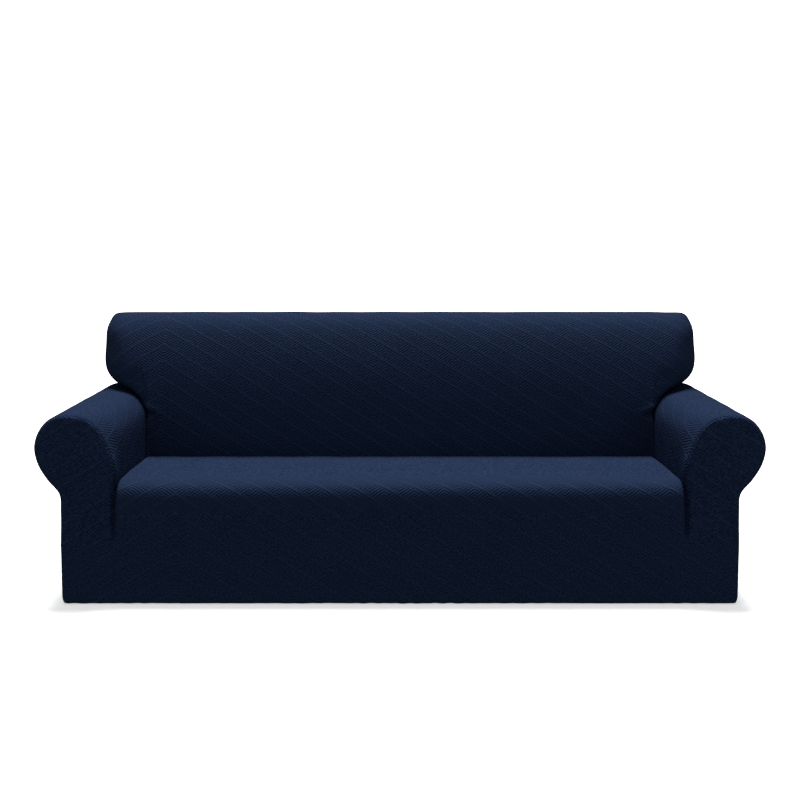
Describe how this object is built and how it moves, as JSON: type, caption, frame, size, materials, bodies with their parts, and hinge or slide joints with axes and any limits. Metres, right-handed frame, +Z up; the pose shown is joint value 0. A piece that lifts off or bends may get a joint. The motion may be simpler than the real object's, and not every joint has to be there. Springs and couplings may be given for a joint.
{
  "type": "sofa slipcover",
  "caption": "Fitted navy stretch jacquard slipcover for a three-seat sofa with rolled arms, hollow and open at the floor.",
  "frame": {"origin": "middle of the footprint, on the floor", "axes": "+X to the right as seen from the front, -Y out of the front, +Z up"},
  "size_m": [2.3518, 0.925, 0.883],
  "materials": {
    "navy_jacquard": "matt stretch knit with a raised key pattern"
  },
  "bodies": {
    "root": {"front_panel": "navy_jacquard", "arm_panel_right": "navy_jacquard", "arm_panel_left": "navy_jacquard", "inside_back_panel": "navy_jacquard", "outside_back_panel": "navy_jacquard"}
  },
  "joints": []
}
